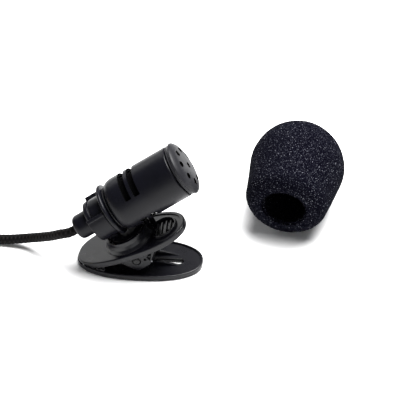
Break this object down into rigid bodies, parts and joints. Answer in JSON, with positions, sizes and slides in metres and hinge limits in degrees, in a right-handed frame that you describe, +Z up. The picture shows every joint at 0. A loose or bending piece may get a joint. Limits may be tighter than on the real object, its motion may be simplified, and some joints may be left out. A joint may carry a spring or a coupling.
{
  "type": "lavalier microphone",
  "caption": "Clip-on lavalier microphone on a swivelling tie clip, with a foam windscreen beside it and a coiled cable ending in a small audio plug.",
  "frame": {"origin": "on the underside of the clip's lower jaw, 1.7 mm in front of the hinge pin towards the jaw tips, on the clip's plane of symmetry", "axes": "+X from the jaw tips to the finger lever, +Z up from the lower jaw's underside, +Y across the clip towards the windscreen's side"},
  "size_m": [0.1222, 0.0487, 0.0293],
  "materials": {
    "black_plastic": "satin black moulded plastic",
    "clip_plastic": "glossy black moulded plastic",
    "grille_metal": "satin dark grey painted metal",
    "rubber": "matte black rubber",
    "steel": "plain bright steel",
    "blackened_steel": "blackened steel",
    "foam": "open-cell black acoustic foam",
    "cable_braid": "black braided sleeve",
    "mesh_cloth": "fine woven acoustic mesh",
    "capsule_metal": "drawn aluminium can",
    "board_green": "green circuit board",
    "gold_plate": "gold plated brass",
    "insulator": "black insulator",
    "wire_red": "red wire insulation",
    "wire_white": "white wire insulation"
  },
  "bodies": {
    "clip_base": {"lower_jaw": "clip_plastic", "hinge_pin": "blackened_steel", "torsion_spring": "steel", "cord_lead": "cable_braid", "cord_coil": "cable_braid", "cord_tail": "cable_braid", "coil_tie": "rubber", "plug_boot": "rubber", "plug_handle": "black_plastic", "plug_collar": "gold_plate", "sleeve_contact": "gold_plate", "rear_insulator": "insulator", "ring_contact": "gold_plate", "front_insulator": "insulator", "tip_contact": "gold_plate"},
    "clip_lever": {"upper_jaw": "clip_plastic", "spring_upper_leg": "steel", "swivel_rivet": "steel"},
    "holder": {"holder": "black_plastic", "swivel_washer": "steel"},
    "microphone": {"front_grille_cap": "grille_metal", "acoustic_mesh_disc": "mesh_cloth", "electret_capsule": "capsule_metal", "capsule_seat": "rubber", "vent_screen": "mesh_cloth", "barrel_housing": "black_plastic", "retaining_ring": "steel", "rear_gasket": "rubber", "rear_bushing": "black_plastic", "cable_crimp": "steel", "strain_relief": "rubber", "cable_tail": "cable_braid", "filter_board": "board_green", "filter_capacitor": "insulator", "signal_lead": "wire_red", "ground_lead": "wire_white"},
    "windscreen": {"windscreen": "foam"}
  },
  "joints": [
    {"name": "jaw_hinge", "type": "hinge", "parent": "clip_base", "child": "clip_lever", "pos_m": [0.0017, 0, 0.0041], "axis": [0, 1, 0], "range_deg": [0, 25], "stiffness_Nm_per_rad": 0.05, "springref_deg": -34.38},
    {"name": "holder_swivel", "type": "hinge", "parent": "clip_lever", "child": "holder", "pos_m": [-0.00022, 0, 0.00666], "axis": [-0.4226, 0, 0.9063], "range_deg": [-90, 90]},
    {"name": "microphone_roll", "type": "hinge", "parent": "holder", "child": "microphone", "pos_m": [-0.00626, -0.00047, 0.01294], "axis": [0.8292, 0.1613, 0.5352], "range_deg": [-180, 180]},
    {"name": "windscreen_slide", "type": "slide", "parent": "clip_base", "child": "windscreen", "axis": [0.8165, 0.5773, 0], "range_m": [0, 0.03]}
  ]
}
